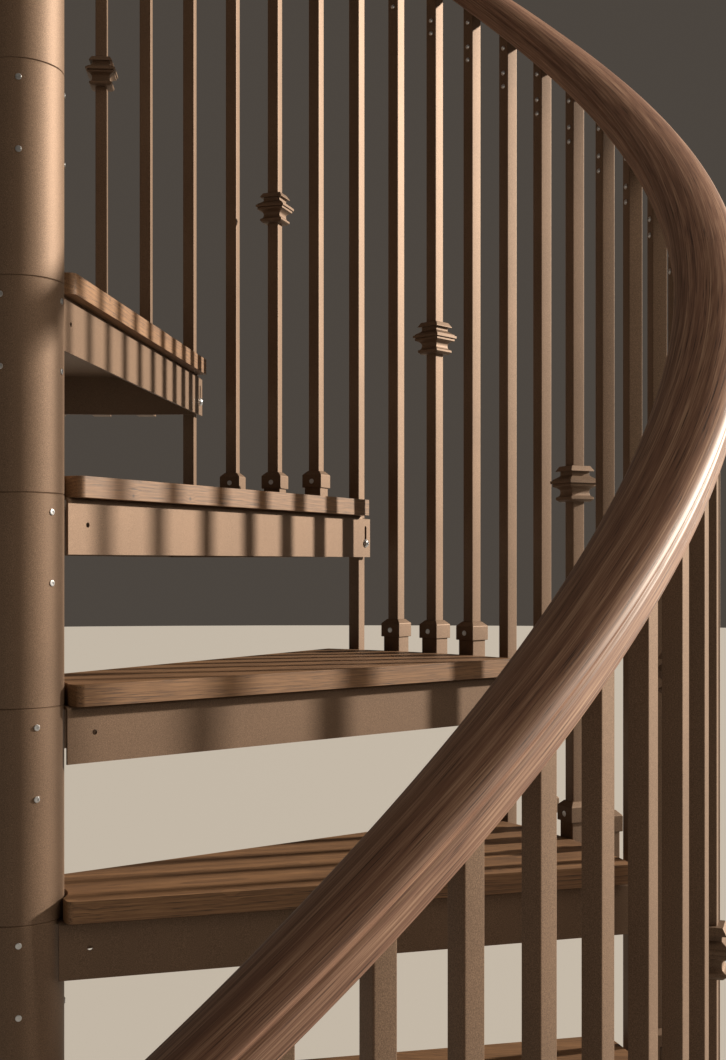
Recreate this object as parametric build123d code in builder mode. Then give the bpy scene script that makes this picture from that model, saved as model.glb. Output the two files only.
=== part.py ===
from build123d import *
import math
import os

# A spiral staircase for one storey of 2795 mm. It climbs anticlockwise, seen from above.
# The origin is on the underside of the base plate, on the column's axis, and Z points up.
# A tread's own angle is measured from the tall baluster at its front outer corner.

# The climb
FULL_TURN = 360
RISER = 215
TREAD_COUNT = 12
TREAD_TURN = 22.5
FIRST_TURN = -90
RISE_PER_DEGREE = RISER / TREAD_TURN

# The column: a base plate, a pole inside, and one sleeve for each riser
BASE_RADIUS = 140
BASE_THICKNESS = 10
BASE_EDGE = 2
ANCHOR_CIRCLE_RADIUS = 112
ANCHOR_HOLE_RADIUS = 7
ANCHOR_COUNT = 4
ANCHOR_START = 45
POLE_RADIUS = 30
POLE_WALL = 4
SLEEVE_RADIUS = 46.5
SLEEVE_WALL = 3
SEAM_DROP = 20.5
CAP_RADIUS = 46.5
CAP_THICKNESS = 12
CAP_EDGE = 4

# The wooden tread: two straight edges that open by twice HALF_WEDGE towards a round rim
BOARD_THICKNESS = 22.5
BOARD_SETBACK = 0.5
BOARD_END = 38.5
BOARD_EASING = 1.5
BOARD_CORNER_RADIUS = 8
HALF_WEDGE = 9.57
TREAD_AXIS_TURN = 10.9
FRONT_EDGE_DISTANCE = 45
REAR_EDGE_DISTANCE = 63.7
COLUMN_NOTCH_GAP = 3.5

# The steel carrier under it, folded down in front and behind
TRAY_INSET = 12
TRAY_DEPTH = 59.3
TRAY_SHEET = 3
TRAY_BEND = 4.5
TRAY_END = 33
COLUMN_GAP = 3
EAR_PAST_BAR = 9.5
BOLT_SETBACK = 4
BOLT_DROP = 35
SLOT_WIDTH = 5.5
SLOT_LENGTH = 29
SLOT_DROP = 24.5
SMALL_HOLE_RADIUS = 2.8
SMALL_HOLE_REACH = 77.3
SMALL_HOLE_DROP = 28

# The balusters: one tall and three short ones on each tread
BAR = 17
BAR_CIRCLE = 686
BAR_TURN = TREAD_TURN / 4
COLLARED_BAR = 2
POST = 26
POST_RISE = 20
CLAMP = 31
CLAMP_HEIGHT = 25
CLAMP_CHAMFER = 6
CLAMP_TAPER = 45
SPACER_HEIGHT = 24
WASHER = 16
WASHER_FIT = 0.19

# The handrail: a moulded helical rail over the balusters
RAIL_UNDERSIDE = 823.9
RAIL_HEIGHT = 48
RAIL_FOOT_HALF = 28
RAIL_BODY_HALF = 30.5
RAIL_GROOVE_HALF = 28.5
RAIL_CROWN_HALF = 32.5
RAIL_FOOT_RISE = 3
RAIL_BODY_RISE = 20
RAIL_GROOVE_RISE = 23.5
RAIL_CROWN_RISE = 28.5
CROWN_REACH = 0.78
CROWN_FULLNESS = 0.66
RAIL_LEAD = 2.5
RAIL_COUNT = 4
RAIL_FIT = 0.15

# The collar on the second short baluster of each tread
COLLAR_BELOW_RAIL = 494
COLLAR_HEIGHT = 44
COLLAR_BAND_HALF = 22
COLLAR_BODY_HALF = 20
COLLAR_PLATE_HALF = 17
COLLAR_END_HALF = 14
COLLAR_NECK_HALF = 13
COLLAR_FOOT_SLOPE = 3
COLLAR_FOOT_TOP = -16.5
COLLAR_NECK_FOOT = -14
COLLAR_COVE_FOOT = -8
COLLAR_COVE_TOP = -3
COLLAR_BAND_TOP = 4
COLLAR_BAND_SLOPE = 1.5
COLLAR_UPPER_NECK = 10.5
COLLAR_PLATE = 15.5

# What follows from these sizes. Heights are above the top of the tread they belong to
BOARD_RIM = BAR_CIRCLE - POST / 2 - BOARD_SETBACK
TRAY_RIM = BAR_CIRCLE - POST / 2
EAR_REACH = BAR_CIRCLE + EAR_PAST_BAR
BOLT_CIRCLE = BAR_CIRCLE - BOLT_SETBACK
NOTCH_RADIUS = SLEEVE_RADIUS + COLUMN_NOTCH_GAP
BOARD_UNDERSIDE = -BOARD_THICKNESS
TRAY_FOOT = BOARD_UNDERSIDE - TRAY_DEPTH
BEND_FOOT = BOARD_UNDERSIDE - TRAY_BEND
TALL_BAR_FOOT = TRAY_FOOT - RISER
COLUMN_TOP = (TREAD_COUNT + 1) * RISER - SEAM_DROP
RAIL_TURN = (TREAD_COUNT * TREAD_TURN + 2 * RAIL_LEAD) / RAIL_COUNT


def edge_point(distance, radius, side):
    """Point of a straight tread edge at a radius, side -1 for the front and 1 for the rear."""
    turn = TREAD_AXIS_TURN + side * (HALF_WEDGE + math.degrees(math.asin(distance / radius)))
    return Vector(radius, 0).rotate(Axis.Z, turn)


def end_point(distance, end, side):
    """Point of a straight tread edge at a distance along the tread's own centre line."""
    across = distance / math.cos(math.radians(HALF_WEDGE)) + end * math.tan(math.radians(HALF_WEDGE))
    return Vector(end, side * across).rotate(Axis.Z, TREAD_AXIS_TURN)


def wedge(front, rear, end, rim):
    """Closed outline of a tread in plan, between two straight edges and the rim."""
    front_rim = edge_point(front, rim, -1)
    rear_rim = edge_point(rear, rim, 1)
    middle = Vector(rim, 0).rotate(Axis.Z, TREAD_AXIS_TURN)
    Polyline(front_rim, end_point(front, end, -1), end_point(rear, end, 1), rear_rim)
    ThreePointArc(rear_rim, middle, front_rim)


def make_board():
    """Wooden tread, its top at height 0 and its tall baluster at angle 0."""
    with BuildPart() as board:
        with BuildSketch(Plane.XY.offset(BOARD_UNDERSIDE)):
            with BuildLine():
                wedge(FRONT_EDGE_DISTANCE, REAR_EDGE_DISTANCE, BOARD_END, BOARD_RIM)
            make_face()
            Circle(NOTCH_RADIUS, mode=Mode.SUBTRACT)
        extrude(amount=BOARD_THICKNESS)
        upright = board.edges().filter_by(Axis.Z).sort_by(lambda edge: edge.center().length)
        fillet(upright[2:4], BOARD_CORNER_RADIUS)
        chamfer(board.faces().sort_by(Axis.Z)[-1].edges(), BOARD_EASING)
    return board.part


def make_carrier(sleeve_foot):
    """Sleeve of the column with the folded tray that carries one tread."""
    seam = -SEAM_DROP
    front = FRONT_EDGE_DISTANCE - TRAY_INSET
    rear = REAR_EDGE_DISTANCE - TRAY_INSET
    front_line = Plane(
        origin=end_point(front, TRAY_END, -1),
        x_dir=Vector(1, 0).rotate(Axis.Z, TREAD_AXIS_TURN - HALF_WEDGE),
        z_dir=Vector(0, -1).rotate(Axis.Z, TREAD_AXIS_TURN - HALF_WEDGE),
    )
    ear_start = (edge_point(front, TRAY_RIM - TRAY_SHEET, -1) - front_line.origin).length
    ear_end = (edge_point(front, EAR_REACH, -1) - front_line.origin).length
    bolt_reach = (edge_point(front, BOLT_CIRCLE, -1) - front_line.origin).length
    hole_reach = (edge_point(front, SMALL_HOLE_REACH, -1) - front_line.origin).length
    with BuildPart() as carrier:
        # folded tray, open underneath
        with BuildSketch(Plane.XY.offset(TRAY_FOOT)):
            with BuildLine():
                wedge(front, rear, TRAY_END, TRAY_RIM)
            make_face()
        extrude(amount=TRAY_DEPTH)
        bends = carrier.faces().sort_by(Axis.Z)[-1].edges().filter_by(GeomType.LINE).sort_by(SortBy.LENGTH)
        fillet(bends[-2:], TRAY_BEND)
        with BuildSketch(Plane.XY.offset(TRAY_FOOT)):
            with BuildLine():
                wedge(front - TRAY_SHEET, rear - TRAY_SHEET, 0, TRAY_RIM - TRAY_SHEET)
            make_face()
        extrude(amount=TRAY_DEPTH - TRAY_SHEET, mode=Mode.SUBTRACT)
        # ear of the front plate, past the rim
        with BuildSketch(front_line):
            with BuildLine():
                Polyline(
                    (ear_start, TRAY_FOOT),
                    (ear_end, TRAY_FOOT),
                    (ear_end, BEND_FOOT),
                    (ear_start, BEND_FOOT),
                    close=True,
                )
            make_face()
        extrude(amount=-TRAY_SHEET)
        # slot over the bolt of the tall baluster, and the small hole beside the column
        with BuildSketch(front_line):
            with Locations((bolt_reach, BEND_FOOT - SLOT_DROP)):
                SlotOverall(SLOT_LENGTH, SLOT_WIDTH, rotation=90)
            with Locations((hole_reach, BOARD_UNDERSIDE - SMALL_HOLE_DROP)):
                Circle(SMALL_HOLE_RADIUS)
        extrude(amount=-TRAY_SHEET, mode=Mode.SUBTRACT)
        # room for the sleeve, then the sleeve itself
        with BuildSketch(Plane.XY.offset(TRAY_FOOT)):
            Circle(SLEEVE_RADIUS + COLUMN_GAP)
        extrude(amount=TRAY_DEPTH - TRAY_SHEET, mode=Mode.SUBTRACT)
        with BuildSketch(Plane.XY.offset(sleeve_foot)):
            Circle(SLEEVE_RADIUS)
        extrude(amount=seam - sleeve_foot)
        with BuildSketch(Plane.XY.offset(sleeve_foot)):
            Circle(SLEEVE_RADIUS - SLEEVE_WALL)
        extrude(amount=seam - sleeve_foot, mode=Mode.SUBTRACT)
    return carrier.part


def bar_plane(index, height):
    """Level plane on the centre of a baluster, its x axis pointing out from the column."""
    turn = index * BAR_TURN
    outwards = Vector(1, 0).rotate(Axis.Z, turn)
    return Plane(origin=outwards * BAR_CIRCLE + Vector(0, 0, height), x_dir=outwards, z_dir=(0, 0, 1))


def bar_side_plane(index, height, outward):
    """Upright plane on the centre of a baluster, looking at it from outside or from the front."""
    level = bar_plane(index, height)
    if outward:
        return Plane(origin=level.origin, x_dir=level.y_dir, z_dir=level.x_dir)
    return Plane(origin=level.origin, x_dir=level.x_dir, z_dir=-level.y_dir)


def make_bar(index, foot):
    """Square bar from its foot up to the sloping underside of the handrail."""
    rail_height = RAIL_UNDERSIDE + index * BAR_TURN * RISE_PER_DEGREE - RAIL_FIT
    level = bar_plane(index, rail_height)
    climb = level.y_dir * BAR_CIRCLE + Vector(0, 0, math.degrees(RISE_PER_DEGREE))
    underside = Plane(origin=level.origin, x_dir=level.x_dir, z_dir=level.x_dir.cross(climb))
    with BuildPart() as bar:
        with BuildSketch(bar_plane(index, foot)):
            Rectangle(BAR, BAR)
        extrude(amount=rail_height - foot + BAR)
        split(bisect_by=underside, keep=Keep.BOTTOM)
    return bar.part


def collar_profile():
    """Closed outline of the collar's moulding, seen from the side, its middle at height 0."""
    end = COLLAR_HEIGHT / 2
    half = [
        (COLLAR_END_HALF, -end),
        (COLLAR_PLATE_HALF, COLLAR_FOOT_SLOPE - end),
        (COLLAR_PLATE_HALF, COLLAR_FOOT_TOP),
        (COLLAR_NECK_HALF, COLLAR_NECK_FOOT),
        (COLLAR_NECK_HALF, COLLAR_COVE_FOOT),
        (COLLAR_BODY_HALF, COLLAR_COVE_TOP),
        (COLLAR_BODY_HALF, 0),
        (COLLAR_BAND_HALF, 0),
        (COLLAR_BAND_HALF, COLLAR_BAND_TOP),
        (COLLAR_BODY_HALF, COLLAR_BAND_TOP + COLLAR_BAND_SLOPE),
        (COLLAR_NECK_HALF, COLLAR_UPPER_NECK),
        (COLLAR_NECK_HALF, COLLAR_PLATE),
        (COLLAR_PLATE_HALF, COLLAR_PLATE),
        (COLLAR_END_HALF, end),
    ]
    mirrored = [(-across, height) for across, height in reversed(half)]
    Polyline(*half, *mirrored, close=True)


def make_collar(height):
    """Moulded square collar round the second short baluster: one moulding seen from two sides."""
    with BuildPart() as collar:
        with BuildSketch(bar_side_plane(COLLARED_BAR, height, outward=True)):
            with BuildLine():
                collar_profile()
            make_face()
        extrude(amount=COLLAR_BAND_HALF, both=True)
        with BuildSketch(bar_side_plane(COLLARED_BAR, height, outward=False)):
            with BuildLine():
                collar_profile()
            make_face()
        extrude(amount=COLLAR_BAND_HALF, both=True, mode=Mode.INTERSECT)
    return collar.part


def make_tall_bar(foot, stands_on_floor):
    """Tall baluster with its square washer behind the ear and its spacer on the tread below."""
    front = FRONT_EDGE_DISTANCE - TRAY_INSET
    ear_face = edge_point(front - TRAY_SHEET, BOLT_CIRCLE, -1).Y
    bar = make_bar(0, foot)
    with BuildPart() as tall:
        add(bar)
        with BuildSketch(bar_side_plane(0, BEND_FOOT - BOLT_DROP, outward=False).offset(BAR / 2)):
            with Locations((-BOLT_SETBACK, 0)):
                Rectangle(WASHER, WASHER)
        extrude(amount=-BAR / 2 - ear_face - WASHER_FIT)
        if not stands_on_floor:
            with BuildSketch(bar_plane(0, TALL_BAR_FOOT + SPACER_HEIGHT / 2)):
                with Locations((-(BAR + BAR_CIRCLE - TRAY_RIM - BAR / 2) / 2, 0)):
                    Rectangle(BAR_CIRCLE - TRAY_RIM - BAR / 2, BAR)
            extrude(amount=SPACER_HEIGHT)
    return tall.part


def make_balusters(tall_foot, stands_on_floor):
    """The tall baluster and the three short ones of one tread, with their feet and clamps."""
    collar_height = RAIL_UNDERSIDE + COLLARED_BAR * BAR_TURN * RISE_PER_DEGREE - COLLAR_BELOW_RAIL
    tall = make_tall_bar(tall_foot, stands_on_floor)
    short = [make_bar(index, POST_RISE) for index in (1, 2, 3)]
    collar = make_collar(collar_height)
    with BuildPart() as balusters:
        add(tall)
        for bar in short:
            add(bar)
        add(collar)
        for index in (1, 2, 3):
            with BuildSketch(bar_plane(index, TRAY_FOOT)):
                Rectangle(POST, POST)
            extrude(amount=POST_RISE - TRAY_FOOT)
            with BuildSketch(bar_plane(index, POST_RISE)):
                Rectangle(CLAMP, CLAMP)
            extrude(amount=CLAMP_HEIGHT - CLAMP_CHAMFER)
            with BuildSketch(bar_plane(index, POST_RISE + CLAMP_HEIGHT - CLAMP_CHAMFER)):
                Rectangle(CLAMP, CLAMP)
            extrude(amount=CLAMP_CHAMFER, taper=CLAMP_TAPER)
    return balusters.part


def rail_profile():
    """Closed outline of the handrail across, its underside at height 0."""
    shoulder = RAIL_CROWN_HALF * CROWN_REACH
    shoulder_rise = RAIL_CROWN_RISE + (RAIL_HEIGHT - RAIL_CROWN_RISE) * CROWN_FULLNESS
    right = [
        (RAIL_FOOT_HALF, 0),
        (RAIL_BODY_HALF, RAIL_FOOT_RISE),
        (RAIL_BODY_HALF, RAIL_BODY_RISE),
        (RAIL_GROOVE_HALF, RAIL_GROOVE_RISE),
        (RAIL_CROWN_HALF, RAIL_CROWN_RISE),
    ]
    left = [(-across, height) for across, height in reversed(right)]
    Polyline(*left, *right)
    ThreePointArc((RAIL_CROWN_HALF, RAIL_CROWN_RISE), (shoulder, shoulder_rise), (0, RAIL_HEIGHT))
    ThreePointArc((0, RAIL_HEIGHT), (-shoulder, shoulder_rise), (-RAIL_CROWN_HALF, RAIL_CROWN_RISE))


def make_rail():
    """One length of handrail, its lower end at angle 0 and height 0 of its underside."""
    with BuildPart() as rail:
        with BuildLine():
            Helix(pitch=FULL_TURN * RISE_PER_DEGREE, height=RAIL_TURN * RISE_PER_DEGREE, radius=BAR_CIRCLE)
        with BuildSketch(Plane(origin=(BAR_CIRCLE, 0, 0), x_dir=(1, 0, 0), z_dir=(0, -1, 0))):
            with BuildLine():
                rail_profile()
            make_face()
        sweep(is_frenet=True)
    return rail.part


def save_placed(shape, name, height, turn):
    """Write a shape, lifted and turned round the column, under its own name."""
    with BuildPart() as placed:
        with Locations(Location((0, 0, height), (0, 0, turn))):
            add(shape)
    placed.part.label = name
    export_step(placed.part, f"parts/{name}.step")


os.makedirs("parts", exist_ok=True)

with BuildPart() as base_plate:
    with BuildSketch():
        Circle(BASE_RADIUS)
    extrude(amount=BASE_THICKNESS)
    chamfer(base_plate.edges().filter_by(GeomType.CIRCLE).sort_by(Axis.Z)[-1], BASE_EDGE)
    with PolarLocations(ANCHOR_CIRCLE_RADIUS, ANCHOR_COUNT, start_angle=ANCHOR_START):
        Hole(ANCHOR_HOLE_RADIUS)
base_plate.part.label = "base_plate"
export_step(base_plate.part, "parts/base_plate.step")

with BuildPart() as centre_pole:
    with BuildSketch(Plane.XY.offset(BASE_THICKNESS)):
        Circle(POLE_RADIUS)
        Circle(POLE_RADIUS - POLE_WALL, mode=Mode.SUBTRACT)
    extrude(amount=COLUMN_TOP - BASE_THICKNESS)
centre_pole.part.label = "centre_pole"
export_step(centre_pole.part, "parts/centre_pole.step")

with BuildPart() as column_top:
    with BuildSketch(Plane.XY.offset(COLUMN_TOP - RISER)):
        Circle(SLEEVE_RADIUS)
        Circle(SLEEVE_RADIUS - SLEEVE_WALL, mode=Mode.SUBTRACT)
    extrude(amount=RISER)
    with BuildSketch(Plane.XY.offset(COLUMN_TOP)):
        Circle(CAP_RADIUS)
    extrude(amount=CAP_THICKNESS)
    chamfer(column_top.edges().filter_by(GeomType.CIRCLE).sort_by(Axis.Z)[-1], CAP_EDGE)
column_top.part.label = "column_top"
export_step(column_top.part, "parts/column_top.step")

board = make_board()
first_carrier = make_carrier(BASE_THICKNESS - RISER)
carrier = make_carrier(-SEAM_DROP - RISER)
first_balusters = make_balusters(-RISER, stands_on_floor=True)
balusters = make_balusters(TALL_BAR_FOOT, stands_on_floor=False)
last_baluster = make_tall_bar(TALL_BAR_FOOT, stands_on_floor=False)

for tread in range(TREAD_COUNT):
    height = (tread + 1) * RISER
    turn = FIRST_TURN + tread * TREAD_TURN
    first = tread == 0
    save_placed(board, f"tread_{tread + 1:02d}", height, turn)
    save_placed(first_carrier if first else carrier, f"carrier_{tread + 1:02d}", height, turn)
    save_placed(first_balusters if first else balusters, f"balusters_{tread + 1:02d}", height, turn)

top_height = (TREAD_COUNT + 1) * RISER
save_placed(last_baluster, "top_baluster", top_height, FIRST_TURN + TREAD_COUNT * TREAD_TURN)

rail = make_rail()
for length in range(RAIL_COUNT):
    turn = FIRST_TURN - RAIL_LEAD + length * RAIL_TURN
    height = RISER + RAIL_UNDERSIDE + (length * RAIL_TURN - RAIL_LEAD) * RISE_PER_DEGREE
    save_placed(rail, f"handrail_{length + 1}", height, turn)
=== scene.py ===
"""Dresses the spiral staircase: oak treads, folded steel carriers, balusters and oak handrail."""

import logging
import math
from dataclasses import dataclass
from enum import Enum
from typing import Callable, Iterable, Optional, Sequence

import bmesh
import bpy
import numpy as np
from bmesh.types import BMEdge, BMesh, BMVert
from bpy.types import Material, Mesh, Node, NodeSocket, NodeTree, Object
from mathutils import Matrix, Vector


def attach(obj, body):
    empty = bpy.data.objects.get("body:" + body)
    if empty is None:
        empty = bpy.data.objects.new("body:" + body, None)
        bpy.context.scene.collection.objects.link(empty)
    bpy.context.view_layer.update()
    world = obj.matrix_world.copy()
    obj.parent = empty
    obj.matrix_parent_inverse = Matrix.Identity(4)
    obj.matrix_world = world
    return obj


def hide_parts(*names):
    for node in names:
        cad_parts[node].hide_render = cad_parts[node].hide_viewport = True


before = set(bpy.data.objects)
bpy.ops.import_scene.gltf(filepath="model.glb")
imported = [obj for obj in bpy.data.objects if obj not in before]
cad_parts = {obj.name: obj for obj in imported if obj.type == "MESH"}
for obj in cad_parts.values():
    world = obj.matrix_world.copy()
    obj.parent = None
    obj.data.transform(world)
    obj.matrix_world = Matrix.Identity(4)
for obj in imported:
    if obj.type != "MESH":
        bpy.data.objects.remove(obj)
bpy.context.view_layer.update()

LOG = logging.getLogger("spiral_staircase")
METRES = 0.001  # metres in a millimetre
BODY = "root"
GRAIN = "grain"
TOUCH = 0.01  # millimetres within which two heights are one
PAST = 5.0  # millimetres that a cutter reaches past a face
ALIKE = 0.999  # cosine past which two directions are one
FLAT_EDGE = 0.35  # fold in radians past which an edge is rounded
ROUND = 96  # faces round the column


class Slot(Enum):
    """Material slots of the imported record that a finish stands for."""

    BRONZE = "bronze_paint"
    OAK = "oak_board"
    RAIL = "rail_wood"
    ZINC = "zinc_steel"


class Side(Enum):
    """The two straight edges of a tread, seen by someone who climbs."""

    FRONT = -1
    REAR = 1


def linear(code: str) -> tuple[float, float, float, float]:
    """Turn an sRGB hex colour into linear red, green and blue, with an alpha of one."""
    parts = [int(code[at : at + 2], 16) / 255 for at in (1, 3, 5)]
    light = [part / 12.92 if part <= 0.04045 else ((part + 0.055) / 1.055) ** 2.4 for part in parts]
    return (light[0], light[1], light[2], 1.0)


def add_node(tree: NodeTree, kind: str, feeds: Optional[dict] = None, **settings: object) -> Node:
    """Add one node, set its properties and feed its sockets.

    Args:
        tree: node tree that gets the node.
        kind: Blender's name of the node type.
        feeds: value or output socket for each input, by name or number.
        settings: properties of the node itself.

    Returns:
        The new node.
    """
    node = tree.nodes.new(kind)
    for name, value in settings.items():
        setattr(node, name, value)
    for socket, value in (feeds or {}).items():
        if isinstance(value, NodeSocket):
            tree.links.new(value, node.inputs[socket])
        else:
            node.inputs[socket].default_value = value
    return node


def set_stops(ramp: Node, places: Sequence[float], codes: Sequence[str]) -> None:
    """Give a colour ramp its stops.

    Args:
        ramp: colour ramp node.
        places: positions of the stops, upwards, at least two.
        codes: sRGB hex colour of each stop.
    """
    elements = ramp.color_ramp.elements
    for place in places[2:]:
        elements.new(place)
    for element, place, code in zip(elements, places, codes):
        element.position = place
        element.color = linear(code)


def start_finish(name: str) -> tuple[Material, NodeTree, Node]:
    """Make a plain material, and give it with its node tree and its shader."""
    material = bpy.data.materials.new(name)
    material.use_nodes = True
    return material, material.node_tree, material.node_tree.nodes["Principled BSDF"]


@dataclass(frozen=True)
class PowderCoat:
    """Bronze powder coat, sprayed and baked on steel.

    The baked grains leave a fine pebbled skin, so light breaks up into speckle and no edge mirrors.
    """

    name: str = "bronze_textured_powder_coat"
    ground: str = "#6B5747"
    fleck: str = "#7D6856"
    pit: str = "#584739"
    grain_mm: float = 0.8
    stops: tuple[float, float, float] = (0.3, 0.5, 0.72)
    cloud_mm: float = 90.0
    cloud_range: tuple[float, float] = (0.93, 1.05)
    relief_mm: float = 0.2
    relief_share: float = 0.35
    roughness: float = 0.6
    metallic: float = 0.5

    def build(self) -> Material:
        """Make the material, its speckle drawn coarser than the real 0.3 mm so that it shows."""
        material, tree, shader = start_finish(self.name)
        place = add_node(tree, "ShaderNodeTexCoord").outputs["Object"]
        fine = 1 / (self.grain_mm * METRES)
        grain_feeds = {"Vector": place, "Scale": fine, "Detail": 2.0, "Roughness": 0.6}
        grains = add_node(tree, "ShaderNodeTexNoise", grain_feeds)
        cloud_feeds = {"Vector": place, "Scale": 1 / (self.cloud_mm * METRES), "Detail": 2.0}
        cloud = add_node(tree, "ShaderNodeTexNoise", cloud_feeds)
        speckle = add_node(tree, "ShaderNodeValToRGB", {0: grains.outputs[0]})
        set_stops(speckle, self.stops, (self.pit, self.ground, self.fleck))
        least, most = self.cloud_range
        level_feeds = {
            "Value": cloud.outputs[0],
            "From Min": 0.3,
            "From Max": 0.7,
            "To Min": least,
            "To Max": most,
        }
        level = add_node(tree, "ShaderNodeMapRange", level_feeds)
        tone_feeds = {"Color": speckle.outputs[0], "Value": level.outputs[0]}
        tone = add_node(tree, "ShaderNodeHueSaturation", tone_feeds)
        bump_feeds = {
            "Height": grains.outputs[0],
            "Strength": self.relief_share,
            "Distance": self.relief_mm * METRES,
        }
        bump = add_node(tree, "ShaderNodeBump", bump_feeds)
        tree.links.new(tone.outputs[0], shader.inputs["Base Color"])
        tree.links.new(bump.outputs[0], shader.inputs["Normal"])
        shader.inputs["Roughness"].default_value = self.roughness
        shader.inputs["Metallic"].default_value = self.metallic
        return material


@dataclass(frozen=True)
class OiledOak:
    """Stained and oiled oak, planed and sanded.

    Yearly rings seen from far off their heart give long arches, open pores give short dark
    lines, and the oil leaves a low sheen. The pattern follows the grain attribute, so it turns
    with each tread and bends with the handrail.
    """

    name: str
    pale: str
    middle: str
    deep: str
    pore: str
    ring_mm: float = 4.5
    ring_share: float = 0.26
    arch_mm: tuple[float, float, float] = (420.0, 80.0, 80.0)
    arch_height_mm: float = 34.0
    pore_mm: tuple[float, float, float] = (34.0, 1.1, 1.1)
    band_mm: tuple[float, float, float] = (520.0, 26.0, 26.0)
    band_share: float = 1.0
    knot_cell_mm: float = 55.0
    knot_mm: float = 3.2
    knot_level: float = 0.8
    swirl_mm: float = 14.0
    swirl_level: float = 4.0
    fibre_share: float = 1.1
    stops: tuple[float, float, float] = (0.12, 0.5, 0.92)
    pore_share: float = 0.8
    pore_range: tuple[float, float] = (0.58, 0.7)
    relief_mm: float = 0.15
    relief_share: float = 0.4
    roughness: float = 0.6

    def noise(
        self, tree: NodeTree, grain: NodeSocket, size_mm: tuple[float, float, float], detail: float
    ) -> Node:
        """Noise whose clouds have a length, width and height of their own, in millimetres."""
        scale = tuple(1 / (side * METRES) for side in size_mm)
        place = add_node(tree, "ShaderNodeMapping", {"Vector": grain, "Scale": scale})
        feeds = {"Vector": place.outputs[0], "Scale": 1.0, "Detail": detail, "Roughness": 0.6}
        return add_node(tree, "ShaderNodeTexNoise", feeds)

    def near_knot(self, tree: NodeTree, knots: Node, radius_mm: float, level: float) -> NodeSocket:
        """Level that rises smoothly to a knot's heart from nothing at a radius."""
        feeds = {
            "Value": knots.outputs["Distance"],
            "From Min": radius_mm / self.knot_cell_mm * 0.3,
            "From Max": radius_mm / self.knot_cell_mm,
            "To Min": level,
            "To Max": 0.0,
        }
        level = add_node(tree, "ShaderNodeMapRange", feeds, interpolation_type="SMOOTHSTEP")
        return level.outputs[0]

    def rings(self, tree: NodeTree, grain: NodeSocket, swirl: NodeSocket) -> Node:
        """Yearly rings round the heart, bent into arches and round the knots."""
        arches = self.noise(tree, grain, self.arch_mm, 1.0)
        reach = self.arch_height_mm * METRES
        level_feeds = {0: grain, 1: (0.0, 1.0, 1.0)}
        level = add_node(tree, "ShaderNodeVectorMath", level_feeds, operation="MULTIPLY")
        place_feeds = {0: arches.outputs["Color"], 1: (0.0, reach / 3, reach), 2: level.outputs[0]}
        place = add_node(tree, "ShaderNodeVectorMath", place_feeds, operation="MULTIPLY_ADD")
        feeds = {
            "Vector": place.outputs[0],
            "Scale": math.pi / 10 / (self.ring_mm * METRES),
            "Distortion": 1.2,
            "Detail": 2.0,
            "Detail Scale": 0.6,
            "Phase Offset": swirl,
        }
        settings = {"wave_type": "RINGS", "rings_direction": "X", "wave_profile": "SAW"}
        return add_node(tree, "ShaderNodeTexWave", feeds, **settings)

    def build(self) -> Material:
        """Make the material from rings, bands, pores and a few small knots."""
        material, tree, shader = start_finish(self.name)
        grain = add_node(tree, "ShaderNodeAttribute", attribute_name=GRAIN).outputs["Vector"]
        knot_feeds = {"Vector": grain, "Scale": 1 / (self.knot_cell_mm * METRES), "Randomness": 1.0}
        knots = add_node(tree, "ShaderNodeTexVoronoi", knot_feeds)
        swirl = self.near_knot(tree, knots, self.swirl_mm, self.swirl_level)
        heart = self.near_knot(tree, knots, self.knot_mm, self.knot_level)
        rings = self.rings(tree, grain, swirl)
        fibres = self.noise(tree, grain, self.pore_mm, 3.0)
        bands = self.noise(tree, grain, self.band_mm, 4.0)
        shares = (self.ring_share, self.band_share, self.fibre_share)
        tone: float | NodeSocket = 0.5 - sum(shares) / 2
        for pattern, share in zip((rings, bands, fibres), shares):
            feeds = {0: pattern.outputs["Fac"], 1: share, 2: tone}
            settings = {"operation": "MULTIPLY_ADD", "use_clamp": pattern is fibres}
            tone = add_node(tree, "ShaderNodeMath", feeds, **settings).outputs[0]
        wood = add_node(tree, "ShaderNodeValToRGB", {0: tone})
        set_stops(wood, self.stops, (self.pale, self.middle, self.deep))
        least, most = self.pore_range
        line_feeds = {
            "Value": fibres.outputs[0],
            "From Min": least,
            "From Max": most,
            "To Min": 0.0,
            "To Max": self.pore_share,
        }
        lines = add_node(tree, "ShaderNodeMapRange", line_feeds, interpolation_type="SMOOTHSTEP")
        dark = add_node(tree, "ShaderNodeMath", {0: heart, 1: lines.outputs[0]}, use_clamp=True)
        colour_feeds = {0: dark.outputs[0], 6: wood.outputs[0], 7: linear(self.pore)}
        colour = add_node(tree, "ShaderNodeMix", colour_feeds, data_type="RGBA")
        bump_feeds = {
            "Height": lines.outputs[0],
            "Strength": self.relief_share,
            "Distance": self.relief_mm * METRES,
        }
        bump = add_node(tree, "ShaderNodeBump", bump_feeds, invert=True)
        tree.links.new(colour.outputs[2], shader.inputs["Base Color"])
        tree.links.new(bump.outputs[0], shader.inputs["Normal"])
        shader.inputs["Roughness"].default_value = self.roughness
        return material


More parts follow.
